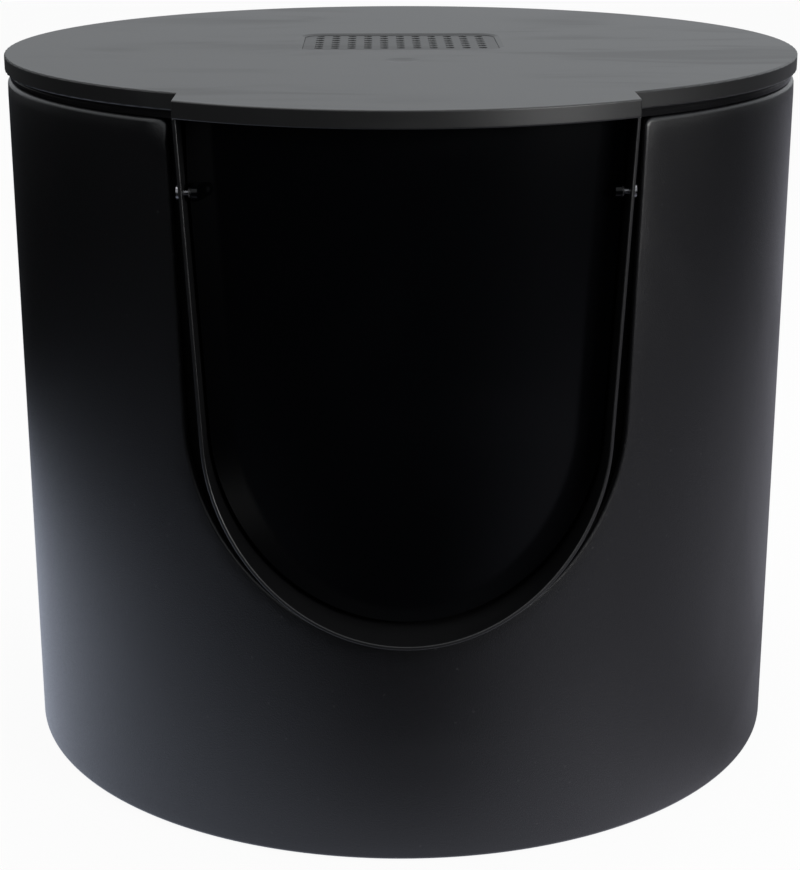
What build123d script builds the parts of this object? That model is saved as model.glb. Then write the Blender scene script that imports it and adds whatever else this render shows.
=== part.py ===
from build123d import *

import os
from math import asin, cos, degrees, radians, sin, tan

# Round covered litter box with a doorway in front. A leather-covered sleeve stands on the floor. A moulded
# tub hangs in it by its rim, carries the doorway collar and the hinged flap, and lifts out upwards. A vented
# lid rests on the tub. Millimetres, +Z up, the doorway faces -Y, origin on the drum's axis at the floor.

# ---- driving dimensions ------------------------------------------------------------------------------
# sleeve
drum_radius = 230.0  # outside of the leather
sleeve_top = 400.2  # crest of the rolled leather edge
sleeve_lift = 1.2  # leather's lower edge above the floor
leather = 1.6  # cover thickness
core_wall = 3.5
cover_return = 16.0  # width of leather turned in behind an edge
bottom_return = 24.0  # width of leather turned in under the board
leather_roll = 2.6  # rounding of the cover's outer edges
slot_corner = 5.0  # rounding where the slot's sides meet the top edge
board_thickness = 9.0
foot_radius = 15.0
foot_edge = 0.8
foot_inset = 52.3  # centres of the outer feet inside the board's edge
foot_count = 4
board_screws = 8
board_screw_length = 22.0
board_screw_radius = 1.75
board_screw_head = 3.4
board_screw_slope = 45  # of the countersunk head, degrees
board_screw_sink = 0.3  # head below the tube's outside

# doorway
door_radius = 103.4  # inside of the collar's round bottom
door_centre = 244.1  # height of that circle's centre
door_taper = 3.1  # lean of the collar's sides, degrees
slot_gap = 9.9  # between the collar and the leather
slot_taper = 1.73  # lean of the slot's sides, degrees

# tub
tub_gap = 5.2  # between the tub and the leather turned in at the sleeve's top
tub_wall = 2.5
tub_draft = 0.75  # degrees
tub_floor_gap = 0.3  # above the base board
tub_corner = 14.0
floor_step = 2.0  # raised middle of the tub's floor
floor_ring = 12.0  # width of the ring that the floor stands on
rim_inset = 1.6  # rim inside the drum's outline
rim_thickness = 2.2
upstand_height = 8.5
upstand_wall = 2.2

# collar
collar_wall = 2.0
collar_edge = 0.6  # rounding of the front edge
collar_inset = 1.5  # front edge behind the tab's front
collar_top_gap = 0.5  # under the tab's skirt
flange_width = 13.0
flange_thickness = 2.4
arc_screws = (-50, 0, 50)  # screws round the doorway's bottom, degrees from straight down
side_screws = 2  # on each side above them
flange_screw_radius = 1.5
flange_screw_head = 3.2
flange_screw_head_height = 1.6
screw_head_taper = 20  # slope of a pan head's side, degrees

# flap and its pins
flap_proud = 5.0  # curved panel in front of the drum's outline
flap_thickness = 2.5
flap_gap = 1.8  # to the collar's sides, below the pins
flap_sill_gap = 3.4  # to the collar's bottom
flap_top_gap = 0.8  # under the lid's skirt
flap_corner = 6.0
flap_rim = 5.0  # depth of the stiffening rim behind the panel
flap_rim_wall = 2.0
ear_gap = 1.0  # from the wide top of the flap to the collar, at pin height
ear_lift = 1.8  # lower end of the wide top above the pins
lug_radius = 3.4
lug_inset = 2.4  # lug's outer face inside the wide top
lug_length = 3.2
lug_depth = 11.0  # from the pin back into the panel
lug_foot = 4.0  # slope of the lug's underside, down towards the panel
pin_drop = 33.2  # pin axis below the sleeve's top
pin_inset = 18.0  # pin axis behind the panel's outside
pin_radius = 1.5
pin_recess = 0.5  # end inside the lug's inner face
pin_head_radius = 3.2
pin_head_height = 1.6
pin_slot = 0.8
washer_radius = 2.6
washer_thickness = 0.8
washer_gap = 0.3  # from the flap's lug

# magnets
magnet_length = 22.0
magnet_depth = 3.0
magnet_height = 6.0
magnet_wall = 1.5
magnet_lift = 3.0  # flap magnet's pocket above the flap's lower edge

# lid
lid_overhang = 1.2  # outside the leather
lid_depth = 9.2  # skirt and plate together
lid_wall = 2.5
lid_edge = 0.9  # rounding of the upper edge
skirt_edge = 1.0  # rounding of the skirt's lower outer edge
lid_gap = 2.1  # skirt above the tub's rim
tab_reach = 31.6  # front of the tab in front of the drum's outline
tab_radius = 205.6
tab_corner = 1.5
guide_wall = 2.0
guide_height = 5.5
dimple_forward = 74.0  # round dimple's centre in front of the drum's axis
dimple_radius = 10.0
dimple_depth = 0.6

# vents and filter
window_width = 116.0
window_depth = 80.0
window_centre = 17.0  # behind the drum's axis
window_corner = 12.0
window_slope = 2.6  # width of the slope down into the window
window_slope_depth = 0.8
grille_recess = 1.0
grille_flange = 4.0
grille_land = 3.0  # width of the flange inside the window's outline
grille_flange_height = 1.4
vent_radius = 2.6
vent_pitch = 9.7
vent_columns = 11
vent_rows = 7
vent_offset = 4.0  # field of holes behind the window's middle
tray_side_margin = 7.0  # tray beyond the window at each side
tray_end_margin = 6.0  # tray beyond the window in front and behind
tray_height = 11.5
tray_wall = 2.0
tray_slots = 5
tray_slot_width = 9.0
tray_slot_border = 9.0
tray_pull = 9.0
tray_pull_width = 30.0
rail_wall = 2.4
rail_foot = 5.0
pad_thickness = 8.0

# clearances
soft_gap = 0.3  # between a soft piece and its neighbour
seat_gap = 0.2  # between moulded pieces that are screwed or set together
board_gap = 0.3  # around the base board
rim_gap = 0.3  # rim above the leather's crest, and lid above the tub's upstand
lid_fit = 0.8  # lid skirt around the upstand
run_gap = 0.1  # around a pin
screw_gap = 0.15  # around a screw
slide_gap = 0.4  # around the filter tray

# ---- derived sizes -----------------------------------------------------------------------------------
# sleeve
core_outer = drum_radius - leather - soft_gap
core_inner = core_outer - core_wall
cover_inner = core_inner - soft_gap - leather
core_top = sleeve_top - leather - soft_gap
board_bottom = sleeve_lift + leather + soft_gap
board_top = board_bottom + board_thickness
board_radius = core_inner - board_gap
foot_ring_radius = board_radius - foot_inset

# doorway
door_outer = door_radius + collar_wall
slot_radius = door_outer + slot_gap
core_slot_radius = slot_radius + leather + soft_gap

# tub and its rim
rim_bottom = sleeve_top + rim_gap
rim_top = rim_bottom + rim_thickness
rim_radius = drum_radius - rim_inset
tub_bottom = board_top + tub_floor_gap
tub_radius = cover_inner - tub_gap
tub_foot_radius = tub_radius - (rim_bottom - tub_bottom) * tan(radians(tub_draft))
upstand_top = rim_top + upstand_height

# lid
lid_bottom = rim_top + lid_gap
lid_top = lid_bottom + lid_depth
lid_under = lid_top - lid_wall
lid_radius = drum_radius + lid_overhang
upstand_radius = lid_radius - lid_wall - lid_fit
tab_centre = tab_radius - drum_radius - tab_reach
dimple_sphere = (dimple_radius**2 + dimple_depth**2) / (2 * dimple_depth)

# collar
collar_top = lid_bottom - collar_top_gap
collar_front_radius = tab_radius - collar_inset
reach = 2 * drum_radius + tab_reach  # longer than any piece in front of the axis

# flap and its pins
flap_radius = drum_radius + flap_proud
flap_top = lid_bottom - flap_top_gap
pin_forward = flap_radius - pin_inset
pin_height = sleeve_top - pin_drop


def half_width(radius, taper, height):
    """Half of a doorway outline's width, between its straight sides, at a height."""
    return radius / cos(radians(taper)) + (height - door_centre) * tan(radians(taper))


tab_half = half_width(door_outer, door_taper, collar_top)


def doorway_face(radius, taper, top, corner=0):
    """U outline in the XZ plane: a round bottom and two straight sides that lean outwards to an open top.
    With a corner radius, the sides flare out into the level edge at the top."""
    lean = radians(taper)
    side = (radius * cos(lean), door_centre - radius * sin(lean))
    half = half_width(radius, taper, top)
    with BuildSketch(Plane.XZ) as outline:
        with BuildLine():
            CenterArc((0, door_centre), radius, 180 + taper, 180 - 2 * taper)
            Line(side, (half, top))
            Line((half, top), (-half, top))
            Line((-half, top), (-side[0], side[1]))
        make_face()
        if corner:
            with Locations((0, top)):
                Rectangle(2 * (half + 2 * corner), corner, align=(Align.CENTER, Align.MIN))
            fillet(outline.vertices().sort_by_distance((half, top))[0], corner)
            fillet(outline.vertices().sort_by_distance((-half, top))[0], corner)
    return outline.sketch


def lid_face(inset, height):
    """Outline of the lid at a height, a disc with a parallel-sided front tab, drawn in by an inset."""
    with BuildSketch(Plane.XY.offset(height)) as outline:
        with Locations((0, tab_centre)):
            Circle(tab_radius - inset)
        with Locations((0, -reach / 2)):
            Rectangle(2 * (tab_half - inset), reach, mode=Mode.INTERSECT)
        fillet(outline.vertices().group_by(Axis.Y)[0], tab_corner)
        Circle(lid_radius - inset)
    return outline.sketch


def ring_face(outer, inner, height):
    """Flat ring about the drum's axis at a height."""
    with BuildSketch(Plane.XY.offset(height)) as outline:
        Circle(outer)
        Circle(inner, mode=Mode.SUBTRACT)
    return outline.sketch


def radial_plane(radius, angle, height):
    """Plane on a cylinder about the drum's axis, facing outwards. Angle 0 is the front, positive to +X."""
    out = Vector(sin(radians(angle)), -cos(radians(angle)), 0)
    return Plane(origin=out * radius + Vector(0, 0, height), x_dir=(0, 0, 1), z_dir=out)


def tub_radius_at(height):
    """Outside radius of the tub's drafted wall at a height."""
    return tub_radius - (rim_bottom - height) * tan(radians(tub_draft))


os.makedirs("parts", exist_ok=True)

# ---- sleeve ------------------------------------------------------------------------------------------
cavity_top = sleeve_top - leather
slot = doorway_face(slot_radius, slot_taper, sleeve_top, slot_corner)
core_slot = doorway_face(core_slot_radius, slot_taper, core_top, slot_corner - leather)
cavity_slot = doorway_face(slot_radius + leather, slot_taper, cavity_top, slot_corner - leather)
return_slot = doorway_face(slot_radius + cover_return, slot_taper, sleeve_top)
board_screw_height = board_bottom + board_thickness / 2
board_screw_planes = [
    radial_plane(core_outer - board_screw_sink, (n + 0.5) * 360 / board_screws, board_screw_height)
    for n in range(board_screws)
]

# Rigid tube. Its slot is open at the top, so that the tub's collar passes when the tub is lifted out.
with BuildPart() as sleeve_core:
    extrude(ring_face(core_outer, core_inner, board_bottom), amount=core_top - board_bottom)
    extrude(core_slot, amount=reach, mode=Mode.SUBTRACT)
    with Locations(*board_screw_planes):
        CounterSinkHole(
            board_screw_radius + screw_gap, board_screw_head + screw_gap, depth=core_wall + board_screw_length
        )
sleeve_core.part.label = "sleeve_core"
export_step(sleeve_core.part, "parts/sleeve_core.step")

# Hollow that the core and its glue line fill inside the cover.
with BuildPart() as cover_cavity:
    cavity_bottom = sleeve_lift + leather
    return_face = cover_inner + leather
    extrude(ring_face(drum_radius - leather, return_face, cavity_bottom), amount=cavity_top - cavity_bottom)
    extrude(cavity_slot, amount=reach, mode=Mode.SUBTRACT)

# Everything behind the cover's turned-in borders.
with BuildPart() as cover_inside:
    inside_top = sleeve_top - cover_return
    extrude(ring_face(return_face, cover_inner - leather, cavity_bottom), amount=inside_top - cavity_bottom)
    extrude(return_slot, amount=reach, mode=Mode.SUBTRACT)

# Padded leather cover, turned over the top and slot edges and under the bottom.
with BuildPart() as leather_wrap:
    extrude(ring_face(drum_radius, cover_inner, sleeve_lift), amount=sleeve_top - sleeve_lift)
    extrude(slot, amount=reach, mode=Mode.SUBTRACT)
    outside = leather_wrap.faces().filter_by(GeomType.CYLINDER).sort_by(SortBy.AREA)[-1]
    fillet(outside.edges().filter_by(GeomType.LINE, reverse=True).sort_by(Axis.Z)[1:], leather_roll)
    add(cover_cavity.part, mode=Mode.SUBTRACT)
    add(cover_inside.part, mode=Mode.SUBTRACT)
    extrude(ring_face(drum_radius - leather, drum_radius - bottom_return, sleeve_lift), amount=leather)
leather_wrap.part.label = "leather_wrap"
export_step(leather_wrap.part, "parts/leather_wrap.step")

with BuildPart() as base_board:
    with BuildSketch(Plane.XY.offset(board_bottom)):
        Circle(board_radius)
    extrude(amount=board_thickness)
    with Locations(*board_screw_planes):
        Hole(board_screw_radius + screw_gap, depth=core_wall + board_screw_length)
base_board.part.label = "base_board"
export_step(base_board.part, "parts/base_board.step")

# Countersunk screws through the tube into the board's edge, covered by the leather.
with BuildPart() as base_screws:
    with BuildSketch(*board_screw_planes):
        Circle(board_screw_radius)
    extrude(amount=-(core_wall + board_screw_length - screw_gap))
    with BuildSketch(*board_screw_planes):
        Circle(board_screw_head)
    extrude(amount=-(board_screw_head - board_screw_radius), taper=board_screw_slope)
base_screws.part.label = "base_screws"
export_step(base_screws.part, "parts/base_screws.step")

foot_places = {"centre": (0, 0)}
for n in range(foot_count):
    turn = radians((n + 0.5) * 360 / foot_count)
    foot_places[str(n + 1)] = (foot_ring_radius * cos(turn), foot_ring_radius * sin(turn))

for place, (foot_x, foot_y) in foot_places.items():
    with BuildPart() as foot_pad:
        with BuildSketch():
            with Locations((foot_x, foot_y)):
                Circle(foot_radius)
        extrude(amount=board_bottom)
        chamfer(foot_pad.edges().group_by(Axis.Z)[0], foot_edge)
    foot_pad.part.label = f"foot_pad_{place}"
    export_step(foot_pad.part, f"parts/foot_pad_{place}.step")

# ---- tub ---------------------------------------------------------------------------------------------
doorway_in_tub = doorway_face(door_outer + seat_gap, door_taper, lid_top)
doorway_outside = doorway_face(door_outer, door_taper, collar_top)
doorway_inside = doorway_face(door_radius, door_taper, lid_top)
flange_outline = doorway_face(door_outer + flange_width, door_taper, rim_bottom - seat_gap)

# The flange's screws stand in the middle of its width, round the bottom and up both sides.
screw_ring = door_outer + flange_width / 2
screw_places = [
    (screw_ring * sin(radians(turn)), door_centre - screw_ring * cos(radians(turn))) for turn in arc_screws
]
for n in range(side_screws):
    height = door_centre + (n + 0.5) * (rim_bottom - door_centre) / side_screws
    side = half_width(screw_ring, door_taper, height)
    screw_places += [(side, height), (-side, height)]
screw_grip = tub_wall + seat_gap + flange_thickness
screw_planes = []
for side, height in screw_places:
    inner_wall = tub_radius_at(height) - tub_wall
    screw_planes.append(radial_plane(inner_wall, degrees(asin(side / inner_wall)), height))

# Deep pan with a drafted wall, a rim that hangs on the sleeve and an upstand that the lid drops over.
with BuildPart() as tub:
    ring_inner = tub_foot_radius - tub_corner - floor_ring
    with BuildSketch(Plane.XZ) as section:
        with BuildLine():
            Polyline(
                (0, tub_bottom + floor_step),
                (ring_inner - floor_step, tub_bottom + floor_step),
                (ring_inner, tub_bottom),
                (tub_foot_radius, tub_bottom),
                (tub_radius, rim_bottom),
                (rim_radius, rim_bottom),
                (rim_radius, rim_top),
                (upstand_radius, rim_top),
                (upstand_radius, upstand_top),
                (upstand_radius - upstand_wall, upstand_top),
                (upstand_radius - upstand_wall, rim_top),
                (tub_radius - tub_wall, rim_top),
                (tub_foot_radius - tub_wall, tub_bottom + tub_wall),
                (ring_inner, tub_bottom + tub_wall),
                (ring_inner - floor_step, tub_bottom + floor_step + tub_wall),
                (0, tub_bottom + floor_step + tub_wall),
                close=True,
            )
        make_face()
        outer_corner = (tub_foot_radius, tub_bottom)
        inner_corner = (tub_foot_radius - tub_wall, tub_bottom + tub_wall)
        fillet(section.vertices().sort_by_distance(outer_corner)[0], tub_corner)
        fillet(section.vertices().sort_by_distance(inner_corner)[0], tub_corner - tub_wall)
    revolve(axis=Axis.Z)
    extrude(doorway_in_tub, amount=reach, mode=Mode.SUBTRACT)
    with Locations(*screw_planes):
        Hole(flange_screw_radius + screw_gap, depth=2 * screw_grip)
tub.part.label = "tub"
export_step(tub.part, "parts/tub.step")

# ---- doorway collar ----------------------------------------------------------------------------------
# Drafted plate that lies on the outside of the tub's wall.
flange_foot = door_centre - door_outer - flange_width
with BuildPart() as flange:
    with BuildSketch(Plane.XZ):
        with BuildLine():
            Polyline(
                (tub_radius_at(flange_foot) + seat_gap, flange_foot),
                (tub_radius_at(flange_foot) + seat_gap + flange_thickness, flange_foot),
                (tub_radius_at(rim_bottom) + seat_gap + flange_thickness, rim_bottom),
                (tub_radius_at(rim_bottom) + seat_gap, rim_bottom),
                close=True,
            )
        make_face()
    revolve(axis=Axis.Z)
    extrude(flange_outline, amount=reach, mode=Mode.INTERSECT)

magnet_y = -(flap_radius - flap_thickness - magnet_wall - magnet_depth / 2)
pocket_length = magnet_length + 2 * (magnet_wall + seat_gap)
pocket_depth = magnet_depth + 2 * (magnet_wall + seat_gap)
sill_bottom = door_centre - door_outer

# U-shaped channel through the tub's wall, open at the top, with its front edge along the lid's tab.
with BuildPart() as entry_collar:
    extrude(doorway_outside, amount=reach)
    with BuildSketch():
        with Locations((0, tab_centre)):
            Circle(collar_front_radius)
    extrude(amount=lid_top, mode=Mode.INTERSECT)
    with BuildSketch():
        Circle(tub_foot_radius)
    extrude(amount=lid_top, mode=Mode.SUBTRACT)
    add(flange.part)
    with BuildSketch(Plane.XY.offset(sill_bottom + collar_wall / 2)):
        with Locations((0, magnet_y)):
            Rectangle(pocket_length, pocket_depth)
    extrude(amount=-(magnet_height + magnet_wall + collar_wall / 2))
    extrude(doorway_inside, amount=reach, mode=Mode.SUBTRACT)
    with BuildSketch(Plane.XY.offset(sill_bottom - magnet_height - magnet_wall)):
        with Locations((0, magnet_y)):
            Rectangle(magnet_length + 2 * seat_gap, magnet_depth + 2 * seat_gap)
    extrude(amount=magnet_height + seat_gap, mode=Mode.SUBTRACT)
    front = entry_collar.faces().filter_by(GeomType.CYLINDER).filter_by(
        lambda face: abs(face.radius - collar_front_radius) < seat_gap
    )
    fillet(front.edges().filter_by(Axis.Z, reverse=True).sort_by(Axis.Z)[:-2], collar_edge)
    with Locations(*screw_planes):
        Hole(flange_screw_radius + screw_gap, depth=2 * screw_grip)
    with BuildSketch(Plane.YZ):
        with Locations((-pin_forward, pin_height)):
            Circle(pin_radius + run_gap)
    extrude(amount=drum_radius, both=True, mode=Mode.SUBTRACT)
entry_collar.part.label = "entry_collar"
export_step(entry_collar.part, "parts/entry_collar.step")

# Pan-head screws from inside the tub into the collar's flange.
with BuildPart() as collar_screws:
    with BuildSketch(*[plane.offset(-seat_gap / 2) for plane in screw_planes]):
        Circle(flange_screw_radius)
    extrude(amount=screw_grip - seat_gap)
    with BuildSketch(*[plane.offset(-seat_gap / 2) for plane in screw_planes]):
        Circle(flange_screw_head)
    extrude(amount=-flange_screw_head_height, taper=screw_head_taper)
collar_screws.part.label = "collar_screws"
export_step(collar_screws.part, "parts/collar_screws.step")

with BuildPart() as sill_magnet:
    with BuildSketch(Plane.XY.offset(sill_bottom - magnet_height - magnet_wall)):
        with Locations((0, magnet_y)):
            Rectangle(magnet_length, magnet_depth)
    extrude(amount=magnet_height)
sill_magnet.part.label = "sill_magnet"
export_step(sill_magnet.part, "parts/sill_magnet.step")

# ---- flap --------------------------------------------------------------------------------------------
ear_half = half_width(door_radius, door_taper, pin_height) - ear_gap
ear_bottom = pin_height + ear_lift
flap_rise = flap_sill_gap - flap_gap
flap_bottom = door_centre - door_radius + flap_sill_gap
lug_face = ear_half - lug_inset


def flap_face(inset):
    """Flap's outline in the XZ plane, drawn in by an inset: the doorway's U with a wider top at the pins."""
    lean = radians(door_taper)
    radius = door_radius - flap_gap - inset
    centre = door_centre + flap_rise
    side = (radius * cos(lean), centre - radius * sin(lean))
    step = half_width(radius, door_taper, ear_bottom + inset - flap_rise)
    ear = ear_half - inset
    with BuildSketch(Plane.XZ) as outline:
        with BuildLine():
            CenterArc((0, centre), radius, 180 + door_taper, 180 - 2 * door_taper)
            Polyline(
                side,
                (step, ear_bottom + inset),
                (ear, ear_bottom + inset),
                (ear, flap_top - inset),
                (-ear, flap_top - inset),
                (-ear, ear_bottom + inset),
                (-step, ear_bottom + inset),
                (-side[0], side[1]),
            )
        make_face()
        fillet(outline.vertices().group_by(Axis.Y)[-1], flap_corner - inset)
    return outline.sketch


# What the stiffening rim stands around, behind the panel.
with BuildPart() as flap_hollow:
    extrude(flap_face(flap_rim_wall), amount=reach)
    with BuildSketch():
        Circle(flap_radius - flap_thickness)
    extrude(amount=lid_top, mode=Mode.INTERSECT)

# Curved panel with a rim behind its edges, a lug at each top corner for its pin and a pocket for a magnet.
with BuildPart() as flap:
    extrude(flap_face(0), amount=reach)
    rim_radius_behind = flap_radius - flap_thickness - flap_rim
    extrude(ring_face(flap_radius, rim_radius_behind, 0), amount=lid_top, mode=Mode.INTERSECT)
    add(flap_hollow.part, mode=Mode.SUBTRACT)
    for side in (-1, 1):
        with BuildSketch(Plane.YZ.offset(side * (lug_face - lug_length))):
            with Locations((-pin_forward, pin_height)):
                Circle(lug_radius)
                Polygon(
                    (0, lug_radius),
                    (0, -lug_radius),
                    (lug_depth, -lug_radius - lug_foot),
                    (lug_depth, lug_radius),
                    align=None,
                )
                Circle(pin_radius + run_gap, mode=Mode.SUBTRACT)
        extrude(amount=side * lug_length)
    with BuildSketch(Plane.XY.offset(flap_bottom + flap_rim_wall / 2)):
        with Locations((0, magnet_y)):
            Rectangle(pocket_length, pocket_depth)
    extrude(amount=magnet_lift + magnet_height - flap_rim_wall / 2)
    with BuildSketch(Plane.XY.offset(flap_bottom + magnet_lift - seat_gap)):
        with Locations((0, magnet_y)):
            Rectangle(magnet_length + 2 * seat_gap, magnet_depth + 2 * seat_gap)
    extrude(amount=magnet_height + 2 * seat_gap, mode=Mode.SUBTRACT)
flap.part.label = "flap"
export_step(flap.part, "parts/flap.step")

with BuildPart() as flap_magnet:
    with BuildSketch(Plane.XY.offset(flap_bottom + magnet_lift)):
        with Locations((0, magnet_y)):
            Rectangle(magnet_length, magnet_depth)
    extrude(amount=magnet_height)
flap_magnet.part.label = "flap_magnet"
export_step(flap_magnet.part, "parts/flap_magnet.step")

# ---- pivots ------------------------------------------------------------------------------------------
# Pin head stands on the collar's leaning side, so it clears the wall by the lean across its radius.
pin_shoulder = (
    half_width(door_outer, door_taper, pin_height) + pin_head_radius * tan(radians(door_taper)) + seat_gap / 2
)
pin_end = lug_face - lug_length + pin_recess
for side, name in ((-1, "left"), (1, "right")):
    with BuildPart() as pivot_pin:
        with BuildSketch(Plane.YZ.offset(side * pin_end)):
            with Locations((-pin_forward, pin_height)):
                Circle(pin_radius)
        extrude(amount=side * (pin_shoulder - pin_end))
        with BuildSketch(Plane.YZ.offset(side * pin_shoulder)):
            with Locations((-pin_forward, pin_height)):
                Circle(pin_head_radius)
        extrude(amount=side * pin_head_height)
        with BuildSketch(Plane.YZ.offset(side * (pin_shoulder + pin_head_height))):
            with Locations((-pin_forward, pin_height)):
                Rectangle(2 * pin_head_radius + pin_slot, pin_slot)
        extrude(amount=-side * pin_slot, mode=Mode.SUBTRACT)
    pivot_pin.part.label = f"pivot_pin_{name}"
    export_step(pivot_pin.part, f"parts/pivot_pin_{name}.step")

    with BuildPart() as pivot_washer:
        with BuildSketch(Plane.YZ.offset(side * (lug_face + washer_gap))):
            with Locations((-pin_forward, pin_height)):
                Circle(washer_radius)
                Circle(pin_radius + run_gap / 2, mode=Mode.SUBTRACT)
        extrude(amount=side * washer_thickness)
    pivot_washer.part.label = f"pivot_washer_{name}"
    export_step(pivot_washer.part, f"parts/pivot_washer_{name}.step")

# ---- lid ---------------------------------------------------------------------------------------------
tray_width = window_width + 2 * tray_side_margin
tray_depth = window_depth + 2 * tray_end_margin
tray_top = lid_under - seat_gap / 2 - grille_flange_height - slide_gap
tray_bottom = tray_top - tray_height
rail_bottom = tray_bottom - slide_gap - rail_wall
rail_inner = tray_width / 2 + slide_gap
tray_front = window_centre - tray_depth / 2
guide_radius = upstand_radius - upstand_wall - lid_fit

# Plate with a skirt round its edge and a guide ring that centres it inside the tub's upstand.
with BuildPart() as lid:
    extrude(lid_face(0, lid_bottom), amount=lid_depth)
    fillet(lid.edges().group_by(Axis.Z)[-1], lid_edge)
    fillet(lid.edges().group_by(Axis.Z)[0], skirt_edge)
    extrude(lid_face(lid_wall, lid_bottom), amount=lid_depth - lid_wall, mode=Mode.SUBTRACT)
    with BuildSketch(Plane.XY.offset(lid_top)):
        with Locations((0, window_centre)):
            RectangleRounded(window_width, window_depth, window_corner)
    extrude(amount=-lid_wall, mode=Mode.SUBTRACT)
    plate = lid.faces().sort_by(Axis.Z)[-1]
    chamfer(plate.inner_wires().edges(), window_slope, window_slope_depth, reference=plate)
    with BuildSketch(Plane.XY.offset(lid_under)):
        Circle(guide_radius)
        Circle(guide_radius - guide_wall, mode=Mode.SUBTRACT)
        with Locations((0, -guide_radius)):
            Rectangle(2 * (tab_half + guide_wall), 2 * guide_radius, mode=Mode.SUBTRACT)
    extrude(amount=-guide_height)
    # rails for the filter tray, closed in front
    rail_front = tray_front - slide_gap
    rail_length = tray_depth + slide_gap
    with BuildSketch(Plane.XY.offset(lid_under)):
        with Locations((0, rail_front - rail_wall)):
            Rectangle(2 * (rail_inner + rail_wall), rail_length + rail_wall, align=(Align.CENTER, Align.MIN))
        with Locations((0, rail_front)):
            Rectangle(2 * rail_inner, rail_length, align=(Align.CENTER, Align.MIN), mode=Mode.SUBTRACT)
    extrude(amount=rail_bottom - lid_under)
    for side in (-1, 1):
        with BuildSketch(Plane.XY.offset(rail_bottom)):
            with Locations((side * (rail_inner - (rail_foot - rail_wall) / 2), rail_front)):
                Rectangle(rail_foot + rail_wall, rail_length, align=(Align.CENTER, Align.MIN))
        extrude(amount=rail_wall)
    with BuildSketch(Plane.YZ):
        with Locations((-dimple_forward, lid_top - dimple_depth + dimple_sphere)):
            Circle(dimple_sphere)
            ahead = (Align.MIN, Align.CENTER)
            Rectangle(dimple_sphere, 2 * dimple_sphere, align=ahead, mode=Mode.SUBTRACT)
    revolve(axis=Axis((0, -dimple_forward, 0), (0, 0, 1)), mode=Mode.SUBTRACT)
lid.part.label = "lid"
export_step(lid.part, "parts/lid.step")

# Perforated panel set into the lid's window from below, a little under the lid's surface.
grille_top = lid_top - grille_recess
flange_top = lid_under - seat_gap / 2
with BuildPart() as vent_grille:
    with BuildSketch(Plane.XY.offset(flange_top)) as window:
        with Locations((0, window_centre)):
            RectangleRounded(window_width, window_depth, window_corner)
        offset(amount=-seat_gap, mode=Mode.REPLACE)
    extrude(amount=grille_top - flange_top)
    with BuildSketch(Plane.XY.offset(flange_top)):
        offset(window.sketch, grille_flange + seat_gap)
        offset(window.sketch, seat_gap - grille_land, mode=Mode.SUBTRACT)
    extrude(amount=-grille_flange_height)
    with BuildSketch(Plane.XY.offset(grille_top)):
        with Locations((0, window_centre + vent_offset)):
            with GridLocations(vent_pitch, vent_pitch, vent_columns, vent_rows):
                Circle(vent_radius)
    extrude(amount=flange_top - grille_top, mode=Mode.SUBTRACT)
vent_grille.part.label = "vent_grille"
export_step(vent_grille.part, "parts/vent_grille.step")

# Shallow open tray with a slotted floor and a pull at its back edge.
with BuildPart() as filter_tray:
    with BuildSketch(Plane.XY.offset(tray_bottom)):
        with Locations((0, window_centre)):
            Rectangle(tray_width, tray_depth)
    extrude(amount=tray_height)
    with BuildSketch(Plane.XY.offset(tray_top)):
        with Locations((0, window_centre)):
            Rectangle(tray_width - 2 * tray_wall, tray_depth - 2 * tray_wall)
    extrude(amount=tray_wall - tray_height, mode=Mode.SUBTRACT)
    slot_pitch = (tray_width - 2 * (rail_foot + tray_slot_border)) / (tray_slots - 1)
    with BuildSketch(Plane.XY.offset(tray_bottom)):
        with Locations((0, window_centre)):
            with GridLocations(slot_pitch, 0, tray_slots, 1):
                SlotOverall(tray_depth - 2 * tray_slot_border, tray_slot_width, rotation=90)
    extrude(amount=tray_wall, mode=Mode.SUBTRACT)
    with BuildSketch(Plane.XY.offset(tray_bottom)):
        with Locations((0, tray_front + tray_depth - tray_wall)):
            Rectangle(tray_pull_width, tray_wall + tray_pull, align=(Align.CENTER, Align.MIN))
    extrude(amount=tray_wall)
filter_tray.part.label = "filter_tray"
export_step(filter_tray.part, "parts/filter_tray.step")

# Carbon felt pad that lies loose in the tray.
with BuildPart() as carbon_filter:
    with BuildSketch(Plane.XY.offset(tray_bottom + tray_wall + soft_gap)):
        with Locations((0, window_centre)):
            Rectangle(tray_width - 2 * (tray_wall + soft_gap), tray_depth - 2 * (tray_wall + soft_gap))
    extrude(amount=pad_thickness)
carbon_filter.part.label = "carbon_filter"
export_step(carbon_filter.part, "parts/carbon_filter.step")
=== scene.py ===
"""Looks for a round covered litter box: a leatherette sleeve, a moulded tub with a doorway collar and a
hinged flap, and a vented lid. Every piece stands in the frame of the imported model, in metres."""

import math

import bmesh
import bpy
from bpy.props import FloatProperty, FloatVectorProperty, PointerProperty
from bpy.types import Operator, Panel, PropertyGroup
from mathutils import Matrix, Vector
from mathutils.geometry import delaunay_2d_cdt


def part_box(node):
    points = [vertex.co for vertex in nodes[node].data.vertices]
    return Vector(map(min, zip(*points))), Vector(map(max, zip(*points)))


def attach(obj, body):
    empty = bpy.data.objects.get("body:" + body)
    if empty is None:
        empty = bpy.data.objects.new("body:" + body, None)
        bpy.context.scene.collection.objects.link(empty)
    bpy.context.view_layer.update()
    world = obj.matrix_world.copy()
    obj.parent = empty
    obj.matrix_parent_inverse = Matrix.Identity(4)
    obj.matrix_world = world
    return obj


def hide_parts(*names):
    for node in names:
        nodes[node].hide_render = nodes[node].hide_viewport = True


bl_info = {
    "name": "Covered litter box",
    "version": (1, 0, 0),
    "blender": (4, 5, 0),
    "location": "View3D > Sidebar > Litter box",
    "description": "Dresses a round litter box with a leatherette sleeve, a flap door and a vented lid",
    "category": "Object",
}

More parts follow.
